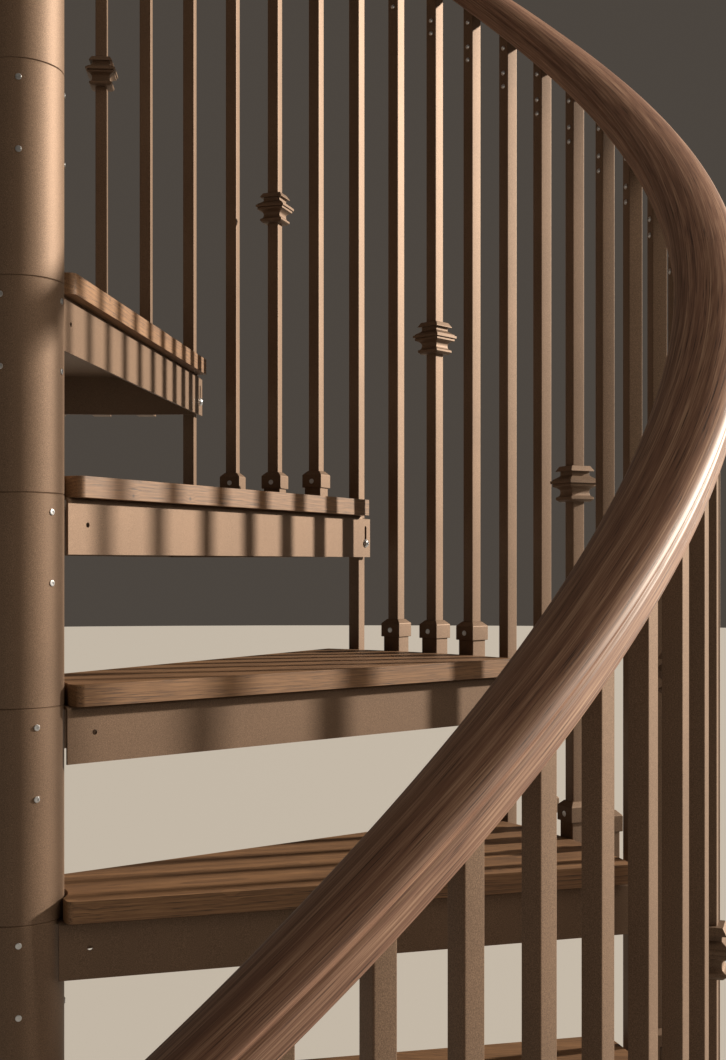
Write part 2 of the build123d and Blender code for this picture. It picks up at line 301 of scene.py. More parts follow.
@dataclass(frozen=True)
class ZincPlate:
    """Bright zinc plated on turned and cold-headed steel.

    A thin plated layer gives a cool silver metal with faint clouds of roughness.
    """

    name: str = "zinc_plated_steel"
    colour: str = "#C9CCD0"
    cloud_mm: float = 1.111
    roughness: tuple[float, float] = (0.22, 0.42)

    def build(self) -> Material:
        """Make the material."""
        material, tree, shader = start_finish(self.name)
        shader.inputs["Base Color"].default_value = linear(self.colour)
        shader.inputs["Metallic"].default_value = 1.0
        place = add_node(tree, "ShaderNodeTexCoord").outputs["Object"]
        cloud_feeds = {"Vector": place, "Scale": 1 / (self.cloud_mm * METRES), "Detail": 1.0}
        clouds = add_node(tree, "ShaderNodeTexNoise", cloud_feeds)
        least, most = self.roughness
        rough_feeds = {"Value": clouds.outputs[0], "To Min": least, "To Max": most}
        rough = add_node(tree, "ShaderNodeMapRange", rough_feeds)
        tree.links.new(rough.outputs[0], shader.inputs["Roughness"])
        return material


@dataclass(frozen=True)
class StudioFloor:
    """Plain matt floor paint, which is not part of the staircase."""

    name: str = "pale_matt_floor"
    colour: str = "#B2B2B0"
    roughness: float = 0.85

    def build(self) -> Material:
        """Make the material."""
        material, _, shader = start_finish(self.name)
        shader.inputs["Base Color"].default_value = linear(self.colour)
        shader.inputs["Roughness"].default_value = self.roughness
        return material


def as_mesh(made: BMesh, name: str) -> Mesh:
    """Mesh of a shape, which is freed."""
    mesh = bpy.data.meshes.new(name)
    made.to_mesh(mesh)
    made.free()
    return mesh


def add_object(name: str, data: object) -> Object:
    """Put a mesh, a lamp or a camera in the scene as an object."""
    item = bpy.data.objects.new(name, data)
    bpy.context.scene.collection.objects.link(item)
    return item


def finish_mesh(made: BMesh, name: str, sharp: float = 40.0) -> Mesh:
    """Turn a bmesh into a mesh with outward faces and soft shading over its small bevels.

    Args:
        made: the shape in millimetres, freed here.
        name: name of the mesh.
        sharp: angle in degrees past which an edge stays sharp.

    Returns:
        The mesh, still in millimetres.
    """
    bmesh.ops.recalc_face_normals(made, faces=made.faces)
    mesh = as_mesh(made, name)
    mesh.shade_smooth()
    mesh.set_sharp_from_angle(angle=math.radians(sharp))
    return mesh


def cut_away(solid: BMesh, cutter: BMesh) -> BMesh:
    """Cut one solid from another.

    Args:
        solid: solid that is kept, freed here.
        cutter: solid that is taken from it, freed here.

    Returns:
        The new solid.
    """
    objects = []
    for made in (solid, cutter):
        bmesh.ops.recalc_face_normals(made, faces=made.faces)
        objects.append(add_object("cut", as_mesh(made, "cut")))
    modifier = objects[0].modifiers.new("cut", "BOOLEAN")
    modifier.operation = "DIFFERENCE"
    modifier.solver = "EXACT"
    modifier.object = objects[1]
    shown = objects[0].evaluated_get(bpy.context.evaluated_depsgraph_get())
    result = bmesh.new()
    result.from_mesh(shown.to_mesh())
    for item in objects:
        mesh = item.data
        bpy.data.objects.remove(item)
        bpy.data.meshes.remove(mesh)
    bmesh.ops.remove_doubles(result, verts=result.verts, dist=TOUCH)
    return result


def merge(parts: Iterable[BMesh]) -> BMesh:
    """Lay several shapes into one bmesh, without welding them."""
    whole = bmesh.new()
    for part in parts:
        mesh = as_mesh(part, "part")
        whole.from_mesh(mesh)
        bpy.data.meshes.remove(mesh)
    return whole


def moved(made: BMesh, matrix: Matrix) -> BMesh:
    """Move a whole shape by a matrix."""
    bmesh.ops.transform(made, matrix=matrix, verts=made.verts)
    return made


def block(size: Sequence[float], centre: Sequence[float]) -> BMesh:
    """Plain block of a size round a centre."""
    made = bmesh.new()
    place = Matrix.Translation(centre) @ Matrix.Diagonal((*size, 1.0))
    bmesh.ops.create_cube(made, size=1.0, matrix=place)
    return made


def only(items: Iterable[object], kind: type) -> list:
    """Items of one kind, out of what a bmesh operator gives back."""
    return [item for item in items if isinstance(item, kind)]


def up(height: float) -> Vector:
    """Upright way of a length."""
    return Vector((0.0, 0.0, height))


def heading(turn: float) -> Vector:
    """Level direction at an angle in degrees."""
    return Vector((math.cos(math.radians(turn)), math.sin(math.radians(turn)), 0.0))


def turned(turn: float) -> Matrix:
    """Matrix of a turn round the upright axis, in degrees."""
    return Matrix.Rotation(math.radians(turn), 4, "Z")


def slice_off(made: BMesh, place: Vector, outwards: Vector) -> list[BMEdge]:
    """Cut off what lies past a plane.

    Args:
        made: the shape.
        place: point of the plane.
        outwards: direction of the side that goes.

    Returns:
        The edges of the cut.
    """
    cut = bmesh.ops.bisect_plane(
        made,
        geom=made.verts[:] + made.edges[:] + made.faces[:],
        plane_co=place,
        plane_no=outwards,
        clear_outer=True,
    )
    return only(cut["geom_cut"], BMEdge)


def bevel(
    made: BMesh,
    geom: Sequence[object],
    width: float,
    segments: int,
    corners: bool = False,
    clamp: bool = False,
) -> None:
    """Bevel edges, or corners of a flat outline.

    Args:
        made: the shape.
        geom: its edges or corners that are bevelled.
        width: width of the bevel in millimetres.
        segments: number of faces across it.
        corners: whether geom holds corners.
        clamp: whether the bevel stops where it would meet another.
    """
    bmesh.ops.bevel(
        made,
        geom=geom,
        affect="VERTICES" if corners else "EDGES",
        offset=width,
        offset_type="OFFSET",
        segments=segments,
        profile=0.5,
        material=-1,
        clamp_overlap=clamp,
    )


def round_edges(made: BMesh, wanted: Callable[[BMEdge], bool], width: float, segments: int) -> None:
    """Bevel the edges that a test picks, no further than their neighbours allow."""
    bevel(made, [edge for edge in made.edges if wanted(edge)], width, segments, clamp=True)


def is_upright(edge: BMEdge) -> bool:
    """Whether an edge stands upright."""
    run = edge.verts[0].co - edge.verts[1].co
    return run.xy.length < TOUCH < abs(run.z)


def is_level(edge: BMEdge, height: Optional[float] = None) -> bool:
    """Whether a folded edge lies level, at one height where that is given."""
    low, high = edge.verts
    if abs(low.co.z - high.co.z) > TOUCH or not edge.is_manifold:
        return False
    if height is not None and abs(low.co.z - height) > TOUCH:
        return False
    return edge.calc_face_angle(0.0) > FLAT_EDGE


def turned_ring(outline: Sequence[tuple[float, float]], steps: int, closed: bool) -> BMesh:
    """Spin an outline right round the upright axis.

    Args:
        outline: radius and height of each corner.
        steps: number of faces round.
        closed: whether the last corner joins the first, as in a tube wall.

    Returns:
        The turned shape.
    """
    made = bmesh.new()
    corners = [made.verts.new((radius, 0.0, height)) for radius, height in outline]
    for near, far in zip(corners, corners[1:]):
        made.edges.new((near, far))
    if closed:
        made.edges.new((corners[-1], corners[0]))
    bmesh.ops.spin(
        made,
        geom=made.verts[:] + made.edges[:],
        cent=up(0.0),
        axis=up(1.0),
        angle=math.tau,
        steps=steps,
        use_merge=True,
    )
    bmesh.ops.remove_doubles(made, verts=made.verts, dist=TOUCH / 10)
    bmesh.ops.recalc_face_normals(made, faces=made.faces)
    return made


def drum(radius: float, low: float, high: float, steps: int = ROUND) -> BMesh:
    """Plain upright cylinder between two heights."""
    made = bmesh.new()
    bmesh.ops.create_cone(
        made,
        cap_ends=True,
        segments=steps,
        radius1=radius,
        radius2=radius,
        depth=high - low,
        matrix=Matrix.Translation(up((low + high) / 2)),
    )
    return made


def show_piece(
    master: Mesh,
    place: Matrix,
    name: str,
    material: Material,
    slot: Slot,
    *nodes: str,
) -> None:
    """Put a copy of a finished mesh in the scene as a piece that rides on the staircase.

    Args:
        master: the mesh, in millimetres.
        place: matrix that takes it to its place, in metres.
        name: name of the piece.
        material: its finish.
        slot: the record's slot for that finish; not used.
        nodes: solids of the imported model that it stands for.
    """
    mesh = master.copy()
    mesh.name = name
    mesh.transform(place)
    mesh.materials.append(material)
    piece = add_object(name, mesh)
    piece.modifiers.new("even_shading", "WEIGHTED_NORMAL").keep_sharp = True
    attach(piece, BODY)
    if nodes:
        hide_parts(*nodes)
    LOG.info("%s: %d faces", name, len(mesh.polygons))


def write_grain(mesh: Mesh, values: np.ndarray) -> None:
    """Keep the wood coordinates of each vertex, in metres, as an attribute."""
    layer = mesh.attributes.get(GRAIN) or mesh.attributes.new(GRAIN, "FLOAT_VECTOR", "POINT")
    layer.data.foreach_set("vector", values.astype(np.float32).ravel())


def read_points(mesh: Mesh) -> np.ndarray:
    """Coordinates of all vertices, one row each."""
    flat = np.empty(len(mesh.vertices) * 3, np.float64)
    mesh.vertices.foreach_get("co", flat)
    return flat.reshape(-1, 3)


@dataclass(frozen=True)
class Climb:
    """How the staircase rises: every tread is a turn and a riser further than the last."""

    riser: float = 215.0
    tread_turn: float = 22.5
    first_turn: float = -90.0
    treads: int = 12
    base: float = 10.0
    bar_circle: float = 686.0
    bolt_setback: float = 4.0
    bolt_drop: float = 62.0
    bars_per_tread: int = 4
    rail_underside: float = 823.9
    rail_fit: float = 0.15

    @property
    def rise_per_degree(self) -> float:
        """Height gained with each degree, in millimetres."""
        return self.riser / self.tread_turn

    @property
    def rise_per_radian(self) -> float:
        """Height gained with each radian, in millimetres."""
        return math.degrees(self.rise_per_degree)

    @property
    def bolt_circle(self) -> float:
        """Radius at which the bolt of a tall baluster passes its ear, in millimetres."""
        return self.bar_circle - self.bolt_setback

    @property
    def bar_turn(self) -> float:
        """Angle from one baluster to the next, in degrees."""
        return self.tread_turn / self.bars_per_tread

    def place(self, step: int) -> Matrix:
        """Matrix that takes a tread's own millimetres to its place in metres; the first is zero."""
        return self.lifted(self.first_turn + step * self.tread_turn, (step + 1) * self.riser)

    def lifted(self, turn: float, height: float) -> Matrix:
        """Matrix of a turn in degrees and a lift in millimetres, with the change to metres."""
        return Matrix.Translation(up(height * METRES)) @ turned(turn) @ Matrix.Scale(METRES, 4)

    def at_bar(self, index: float) -> Matrix:
        """Matrix that takes a shape on the axis to one baluster of the tread."""
        return turned(index * self.bar_turn) @ Matrix.Translation(heading(0.0) * self.bar_circle)

    def under_rail(self, index: float) -> float:
        """Top of one baluster at its middle, just under the handrail."""
        return self.rail_underside + index * self.bar_turn * self.rise_per_degree - self.rail_fit


@dataclass(frozen=True)
class Sleeve:
    """The tube that the column is stacked from, and where its seams lie."""

    radius: float = 46.5
    wall: float = 3.0
    seam_drop: float = 20.5
    seam_edge: float = 0.9

    @property
    def inside(self) -> float:
        """Radius of the bore."""
        return self.radius - self.wall


@dataclass(frozen=True)
class TreadPlan:
    """The wedge that a board and its carrier share in plan."""

    half_wedge: float = 9.57
    axis_turn: float = 10.9
    rim_steps: int = 360

    def edge_turn(self, side: Side) -> float:
        """Direction of a straight edge, in degrees."""
        return self.axis_turn + side.value * self.half_wedge

    def edge_normal(self, side: Side) -> Vector:
        """Outward direction of a straight edge."""
        return heading(self.edge_turn(side) + side.value * 90.0)

    def edge_place(self, side: Side, distance: float, along: float) -> Vector:
        """Point of a straight edge, some way out from the foot of the column's own normal to it."""
        return self.edge_normal(side) * distance + heading(self.edge_turn(side)) * along

    def wedge(self, front: float, rear: float, end: float, rim: float) -> BMesh:
        """Flat wedge between two straight edges, cut from a round disc.

        Args:
            front: distance of the front edge from the column's axis.
            rear: distance of the rear edge.
            end: distance of the column end along the tread's own centre line.
            rim: radius of the outer end.

        Returns:
            One face at height zero.
        """
        made = bmesh.new()
        bmesh.ops.create_circle(made, cap_ends=True, segments=self.rim_steps, radius=rim)
        cuts = [
            (self.edge_normal(Side.FRONT), front),
            (self.edge_normal(Side.REAR), rear),
            (-heading(self.axis_turn), -end),
        ]
        for normal, distance in cuts:
            slice_off(made, normal * distance, normal)
        return made

    def raised(self, flat: BMesh, low: float, high: float) -> BMesh:
        """Make a solid of a flat face, between two heights."""
        bmesh.ops.translate(flat, vec=up(low), verts=flat.verts)
        grown = bmesh.ops.extrude_face_region(flat, geom=flat.faces[:])
        top = only(grown["geom"], BMVert)
        bmesh.ops.translate(flat, vec=up(high - low), verts=top)
        bmesh.ops.holes_fill(flat, edges=[edge for edge in flat.edges if edge.is_boundary])
        bmesh.ops.recalc_face_normals(flat, faces=flat.faces)
        return flat


@dataclass(frozen=True)
class Screw:
    """A small turned head with a hexagonal socket, its seat at height zero and its top upwards."""

    radius: float
    height: float
    socket: float
    dome: float = 0.0
    steps: int = 12
    wall_share: float = 0.8
    shoulder_share: float = 0.94
    crown_shares: tuple[float, float] = (0.74, 0.7)
    socket_share: float = 0.6
    sunk: float = 0.05

    def build(self) -> BMesh:
        """Turn the head, then sink the socket in its top."""
        shoulder = self.height - self.dome
        outline = [
            (self.radius, 0.0),
            (self.radius, shoulder * self.wall_share),
            (self.radius * self.shoulder_share, shoulder),
        ]
        if self.dome:
            across, upwards = self.crown_shares
            outline.append((self.radius * across, shoulder + self.dome * upwards))
        outline.append((self.socket, self.height))
        made = turned_ring(outline, self.steps, closed=False)
        rims = [edge for edge in made.edges if edge.is_boundary]
        top = [edge for edge in rims if edge.verts[0].co.z > self.height / 2]
        foot = [edge for edge in rims if edge.verts[0].co.z < self.height / 2]
        bmesh.ops.contextual_create(made, geom=foot)
        sunk = bmesh.ops.extrude_edge_only(made, edges=top)
        low = only(sunk["geom"], BMVert)
        bmesh.ops.translate(made, vec=up(-self.height * self.socket_share), verts=low)
        floor = only(sunk["geom"], BMEdge)
        bmesh.ops.contextual_create(made, geom=[edge for edge in floor if edge.is_boundary])
        return made

    def facing(self, place: Vector, outwards: Vector) -> BMesh:
        """Head on a face, at one point of it, looking outwards and a little sunk."""
        turn = outwards.to_track_quat("Z", "Y").to_matrix().to_4x4()
        seat = place - outwards.normalized() * self.sunk
        return moved(self.build(), Matrix.Translation(seat) @ turn)


@dataclass(frozen=True)
class OakBoard:
    """The wooden tread, planed square with eased arrises and a round notch for the column."""

    plan: TreadPlan
    climb: Climb
    finish: OiledOak
    thickness: float = 22.5
    rim: float = 672.5
    end: float = 38.5
    front: float = 45.0
    rear: float = 63.7
    corner: float = 8.0
    notch: float = 50.0
    tip: float = 1.5
    tip_fold: float = 0.6
    easing: float = 2.4
    wood_pitch: float = 0.83
    heart_depth: float = 0.2
    heart_swing: tuple[float, float] = (0.06, 0.07)
    swing_turns: tuple[float, float] = (2.4, 1.7)

    def master(self) -> Mesh:
        """One board in its own place, in millimetres."""
        flat = self.plan.wedge(self.front, self.rear, self.end, self.rim)
        near = sorted(flat.verts, key=lambda vert: vert.co.length)[:2]
        cut_back = self.corner / math.tan(math.radians(90.0 + self.plan.half_wedge) / 2)
        bevel(flat, near, cut_back, 8, corners=True)
        solid = self.plan.raised(flat, -self.thickness, 0.0)
        made = cut_away(solid, drum(self.notch, -self.thickness - PAST, PAST))
        round_edges(
            made,
            lambda edge: is_upright(edge) and edge.calc_face_angle(0.0) > self.tip_fold,
            self.tip,
            3,
        )
        round_edges(made, is_level, self.easing, 3)
        return finish_mesh(made, "board_master", sharp=50.0)

    def grain(self, mesh: Mesh, step: int) -> np.ndarray:
        """Wood coordinates: along the front edge, across it and up from the heart of the tree."""
        points = read_points(mesh) * METRES
        axis = math.radians(self.plan.edge_turn(Side.FRONT))
        along = points[:, 0] * math.cos(axis) + points[:, 1] * math.sin(axis)
        across = points[:, 1] * math.cos(axis) - points[:, 0] * math.sin(axis)
        (sideways, upwards), (first, second) = self.heart_swing, self.swing_turns
        drift = (
            self.wood_pitch * step,
            sideways * math.sin(first * step),
            self.heart_depth + upwards * math.cos(second * step),
        )
        return np.stack([along, across, points[:, 2]], axis=1) + np.array(drift)

    def build(self) -> None:
        """Lay a board on every carrier."""
        material = self.finish.build()
        master = self.master()
        for step in range(self.climb.treads):
            write_grain(master, self.grain(master, step))
            number = f"{step + 1:02d}"
            place = self.climb.place(step)
            show_piece(master, place, f"oak_board_{number}", material, Slot.OAK, f"tread_{number}")


@dataclass(frozen=True)
class Carrier:
    """The folded steel tray under a board, and the sleeve of the column that it is welded to."""

    plan: TreadPlan
    climb: Climb
    column: Sleeve
    coat: Material
    top: float = -22.5
    depth: float = 59.3
    sheet: float = 3.0
    bend: float = 4.5
    rim: float = 673.0
    end: float = 33.0
    front: float = 33.0
    rear: float = 51.7
    gap: float = 3.0
    ear_reach: float = 695.5
    slot_width: float = 5.5
    slot_length: float = 29.0
    slot_drop: float = 24.5
    hole: float = 2.8
    hole_reach: float = 77.3
    hole_drop: float = 28.0

    @property
    def foot(self) -> float:
        """Height of the tray's lower edge."""
        return self.top - self.depth

    def along(self, reach: float, distance: float) -> float:
        """Way out along the front edge at which a point has a given radius."""
        return math.sqrt(reach**2 - distance**2)

    def folded(self, inset: float, end: float, reach: float) -> BMesh:
        """Solid of the fold, or of the room inside it, with its two long bends rounded.

        Args:
            inset: way in from the outside of the sheet.
            end: distance of the column end from the column's axis.
            reach: radius of the outer end.

        Returns:
            The solid, from below the board down to the tray's foot and past it by the inset.
        """
        flat = self.plan.wedge(self.front - inset, self.rear - inset, end, reach)
        top = self.top - inset
        solid = self.plan.raised(flat, self.foot - inset, top)
        outwards = [self.plan.edge_normal(side) for side in Side]

        def is_bend(edge: BMEdge) -> bool:
            """Whether an edge on top borders the face of a straight edge of the wedge."""
            looks = [face.normal.dot(way) for face in edge.link_faces for way in outwards]
            return is_level(edge, top) and max(looks) > ALIKE

        round_edges(solid, is_bend, self.bend - inset, 5)
        return solid

    def past_rim(self, front: float, low: float) -> BMesh:
        """Everything past the rim, behind a line and above a height, which leaves only the ear."""
        far = self.ear_reach + PAST
        wide = self.plan.wedge(front, self.rear + PAST, self.rim / 2, far)
        return cut_away(
            self.plan.raised(wide, low, self.top + PAST),
            drum(self.rim, low - PAST, self.top + 2 * PAST, self.plan.rim_steps),
        )

    def punches(self) -> BMesh:
        """Solids of the long slot in the ear and of the small hole beside the column."""
        bolt = self.along(self.climb.bolt_circle, self.front)
        slot_height = self.top - self.bend - self.slot_drop
        size = (self.slot_width, 4 * self.sheet, self.slot_length)
        slot = block(size, (bolt, -self.front, slot_height))
        round_edges(
            slot,
            lambda edge: abs(edge.verts[0].co.y - edge.verts[1].co.y) > self.sheet,
            self.slot_width / 2 - TOUCH,
            4,
        )
        beside = self.along(self.hole_reach, self.front)
        upright = Matrix.Rotation(math.radians(90), 4, "X")
        hole = drum(self.hole, -2 * self.sheet, 2 * self.sheet, 24)
        place = Matrix.Translation((beside, -self.front, self.top - self.hole_drop))
        both = merge([slot, moved(hole, place @ upright)])
        return moved(both, turned(self.plan.edge_turn(Side.FRONT)))

    def tray(self) -> Mesh:
        """Folded tray with its ear, slot and hole, cut to clear the sleeve."""
        made = self.folded(0.0, self.end, self.ear_reach)
        under_sheet = self.top - self.sheet + TOUCH * 5
        cutters = [
            self.past_rim(self.front - self.sheet, self.foot - PAST),
            self.past_rim(self.front + PAST, self.top - self.bend),
            self.folded(self.sheet, 0.0, self.rim - self.sheet),
            self.punches(),
            drum(self.column.radius + self.gap, self.foot - PAST, under_sheet),
            drum(self.column.radius, self.foot, self.top + PAST),
        ]
        for cutter in cutters:
            made = cut_away(made, cutter)
        return finish_mesh(made, "tray_master", sharp=35.0)

    def sleeve(self, foot: float) -> Mesh:
        """Length of the column between two seams, its rims eased."""
        top = -self.column.seam_drop
        outside = self.column.radius
        edge = self.column.seam_edge
        outline = [
            (self.column.inside, foot),
            (outside - edge, foot),
            (outside, foot + edge),
            (outside, top - edge),
            (outside - edge, top),
            (self.column.inside, top),
        ]
        return finish_mesh(turned_ring(outline, ROUND, closed=True), "sleeve_master", sharp=30.0)

    def build(self) -> None:
        """Put a tray and a sleeve under every board."""
        tray = self.tray()
        sleeve = self.sleeve(-self.column.seam_drop - self.climb.riser)
        first_sleeve = self.sleeve(self.climb.base - self.climb.riser)
        for step in range(self.climb.treads):
            number = f"{step + 1:02d}"
            place = self.climb.place(step)
            for mesh, word in ((tray, "tray"), (sleeve if step else first_sleeve, "sleeve")):
                name = f"{word}_{number}"
                show_piece(mesh, place, name, self.coat, Slot.BRONZE, f"carrier_{number}")


@dataclass(frozen=True)
class Balusters:
    """One tall and three short square bars on each tread, with posts, clamps and a collar."""

    climb: Climb
    carrier: Carrier
    coat: Material
    bar: float = 17.0
    bar_edge: float = 1.3
    post: float = 26.0
    post_edge: float = 1.6
    post_rise: float = 20.0
    clamp: float = 31.0
    clamp_height: float = 25.0
    clamp_chamfer: float = 6.0
    clamp_edge: float = 0.8
    spacer_height: float = 24.0
    spacer_edge: float = 0.4
    washer: float = 16.0
    washer_edge: float = 0.5
    washer_depth: float = 5.5
    collared_bar: int = 2
    collar_below_rail: float = 494.0
    collar_edge: float = 0.9
    collar_levels: tuple[tuple[float, float], ...] = (
        (-22.0, 14.0), (-19.0, 17.0), (-16.5, 17.0), (-15.6, 15.2),
        (-14.0, 13.6), (-11.5, 13.0), (-8.3, 13.0), (-6.4, 14.0),
        (-4.6, 16.4), (-3.0, 20.0), (-0.2, 20.0), (0.2, 19.2),
        (0.6, 22.0), (3.8, 22.0), (4.4, 20.0), (5.5, 20.0),
        (8.6, 15.2), (10.5, 13.0), (15.5, 13.0), (15.5, 17.2),
        (16.3, 17.2), (22.0, 13.8),
    )

    def square_bar(self, index: int, foot: float) -> BMesh:
        """Square bar up to the sloping underside of the handrail."""
        top = self.climb.under_rail(index)
        made = block((self.bar, self.bar, top - foot + self.bar), up((foot + top + self.bar) / 2))
        round_edges(made, is_upright, self.bar_edge, 2)
        slope = Vector((0.0, self.climb.bar_circle, self.climb.rise_per_radian))
        rim = slice_off(made, up(top), heading(0.0).cross(slope))
        bmesh.ops.contextual_create(made, geom=rim)
        return moved(made, self.climb.at_bar(index))

    def foot_post(self, index: int) -> BMesh:
        """Square post welded to the rim of the tray, which a short baluster stands in."""
        foot = self.carrier.foot
        height = self.post_rise - foot
        made = block((self.post, self.post, height), up(foot + height / 2))
        round_edges(made, is_upright, self.post_edge, 3)
        return moved(made, self.climb.at_bar(index))

    def foot_clamp(self, index: int) -> BMesh:
        """Square clamp over the top of a post, sloped off above."""
        low = self.post_rise
        high = low + self.clamp_height
        made = block((self.clamp, self.clamp, self.clamp_height), up((low + high) / 2))
        round_edges(made, lambda edge: is_level(edge, high), self.clamp_chamfer, 1)
        round_edges(made, lambda edge: edge.calc_face_angle(0.0) > FLAT_EDGE, self.clamp_edge, 2)
        return moved(made, self.climb.at_bar(index))

    def collar(self) -> BMesh:
        """Moulded collar, square in plan: foot, neck, cove, band, slope, neck and sloped top."""
        made = bmesh.new()
        first_height, half = self.collar_levels[0]
        corner = Matrix.Translation(up(first_height)) @ turned(45.0)
        bmesh.ops.create_circle(made, segments=4, radius=half * math.sqrt(2), matrix=corner)
        bevel(made, made.verts[:], self.collar_edge, 2, corners=True)
        ring = made.edges[:]
        for height, wider in self.collar_levels[1:]:
            grown = bmesh.ops.extrude_edge_only(made, edges=ring)
            ring = only(grown["geom"], BMEdge)
            for vert in {vert for edge in ring for vert in edge.verts}:
                vert.co.x += (wider - half) * math.copysign(1.0, vert.co.x)
                vert.co.y += (wider - half) * math.copysign(1.0, vert.co.y)
                vert.co.z = height
            half = wider
        bmesh.ops.holes_fill(made, edges=[edge for edge in made.edges if edge.is_boundary])
        underside = self.climb.under_rail(self.collared_bar) + self.climb.rail_fit
        lift = Matrix.Translation(up(underside - self.collar_below_rail))
        return moved(made, self.climb.at_bar(self.collared_bar) @ lift)

    def washer_block(self) -> BMesh:
        """Square washer between the tall bar and the ear of the carrier."""
        forwards = (self.bar + self.washer_depth) / 2
        centre = (-self.climb.bolt_setback, -forwards, -self.climb.bolt_drop)
        made = block((self.washer, self.washer_depth, self.washer), centre)
        round_edges(made, lambda edge: True, self.washer_edge, 1)
        return moved(made, self.climb.at_bar(0))

    def spacer(self) -> BMesh:
        """Spacer between the foot of the tall bar and the rim of the tread below."""
        deep = self.climb.bar_circle - self.carrier.rim - self.bar / 2
        foot = self.carrier.foot - self.climb.riser
        centre = (-(self.bar + deep) / 2, 0.0, foot + self.spacer_height)
        made = block((deep, self.bar, self.spacer_height), centre)
        round_edges(made, lambda edge: True, self.spacer_edge, 1)
        return moved(made, self.climb.at_bar(0))

    def tall(self, step: int) -> Mesh:
        """Tall baluster, which on the first tread stands on the floor."""
        foot = (self.carrier.foot if step else 0.0) - self.climb.riser
        parts = [self.square_bar(0, foot), self.washer_block()]
        if step:
            parts.append(self.spacer())
        return finish_mesh(merge(parts), "tall_master")

    def build(self) -> None:
        """Put the balusters of every tread in place, and the last tall one over the top tread."""
        short = range(1, self.climb.bars_per_tread)
        bars = merge(self.square_bar(index, self.post_rise) for index in short)
        masters = {
            "short_balusters": finish_mesh(bars, "short"),
            "foot_posts": finish_mesh(merge(map(self.foot_post, short)), "posts"),
            "foot_clamps": finish_mesh(merge(map(self.foot_clamp, short)), "clamps"),
            "collar": finish_mesh(self.collar(), "collar", sharp=38.0),
        }
        tall = self.tall(1)
        first_tall = self.tall(0)
        for step in range(self.climb.treads + 1):
            last = step == self.climb.treads
            number = f"{step + 1:02d}"
            node = "top_baluster" if last else f"balusters_{number}"
            shapes = dict(masters) if not last else {}
            shapes["tall_baluster"] = tall if step else first_tall
            for word, mesh in shapes.items():
                place = self.climb.place(step)
                show_piece(mesh, place, f"{word}_{number}", self.coat, Slot.BRONZE, node)


@dataclass(frozen=True)
class Handrail:
    """Moulded oak rail in four lengths, each bent to the helix over the balusters."""

    climb: Climb
    finish: OiledOak
    height: float = 48.0
    lead: float = 2.5
    lengths: int = 4
    steps: int = 110
    sharp: int = 5
    corner: float = 1.5
    joint: float = 0.15
    heart: tuple[float, float, float] = (0.0, 0.03, 0.14)
    outline: tuple[tuple[float, float], ...] = (
        (28.0, 0.0), (30.5, 3.0), (30.5, 20.0), (28.5, 23.5),
        (32.5, 28.5), (31.6, 33.0), (29.4, 37.2), (25.4, 41.2),
        (20.0, 44.3), (13.6, 46.6), (7.0, 47.7),
    )

    @property
    def turn(self) -> float:
        """Angle that one length covers, in degrees."""
        return (self.climb.treads * self.climb.tread_turn + 2 * self.lead) / self.lengths

    def section(self, made: BMesh) -> list[BMEdge]:
        """Draw the section across the rail, its foot at height zero, and round its corners.

        Args:
            made: bmesh that gets the section.

        Returns:
            The edges of the closed section.
        """
        left = [(-across, height) for across, height in reversed(self.outline)]
        points = [*self.outline, (0.0, self.height), *left]
        corners = [made.verts.new((self.climb.bar_circle + x, 0.0, z)) for x, z in points]
        made.faces.new(corners)
        bevel(made, corners[: self.sharp] + corners[-self.sharp :], self.corner, 3, corners=True)
        made.faces.ensure_lookup_table()
        face = made.faces[0]
        edges = list(face.edges)
        bmesh.ops.delete(made, geom=[face], context="FACES_ONLY")
        return edges

    def length_mesh(self) -> Mesh:
        """One length, from angle zero upwards, with both ends closed and eased."""
        made = bmesh.new()
        edges = self.section(made)
        verts = list({vert for edge in edges for vert in edge.verts})
        rise = self.turn * self.climb.rise_per_degree
        bmesh.ops.spin(
            made,
            geom=verts + edges,
            cent=up(0.0),
            axis=up(1.0),
            dvec=up(rise / self.steps),
            angle=math.radians(self.turn),
            steps=self.steps,
            use_merge=False,
        )
        bmesh.ops.holes_fill(made, edges=[edge for edge in made.edges if edge.is_boundary])
        bmesh.ops.recalc_face_normals(made, faces=made.faces)
        ends = [face for face in made.faces if len(face.verts) > 4]
        bevel(made, [edge for face in ends for edge in face.edges], self.joint, 1)
        return finish_mesh(made, "rail_master", sharp=42.0)

    def grain(self, mesh: Mesh, number: int) -> np.ndarray:
        """Wood coordinates: along the helix from the foot of the stairs, across the rail and up."""
        points = read_points(mesh) * METRES
        circle = self.climb.bar_circle * METRES
        turn = np.arctan2(points[:, 1], points[:, 0])
        climb = self.climb.rise_per_radian * METRES
        along = (turn + number * math.radians(self.turn)) * math.hypot(circle, climb)
        across = np.hypot(points[:, 0], points[:, 1]) - circle
        up = points[:, 2] - turn * climb
        return np.stack([along, across, up], axis=1) + np.array(self.heart)

    def build(self) -> None:
        """Lay the four lengths on the balusters, end to end."""
        material = self.finish.build()
        master = self.length_mesh()
        first_height = self.climb.riser + self.climb.rail_underside
        for number in range(self.lengths):
            write_grain(master, self.grain(master, number))
            way = number * self.turn - self.lead
            place = self.climb.lifted(
                self.climb.first_turn + way, first_height + way * self.climb.rise_per_degree
            )
            name = f"handrail_length_{number + 1}"
            show_piece(master, place, name, material, Slot.RAIL, f"handrail_{number + 1}")


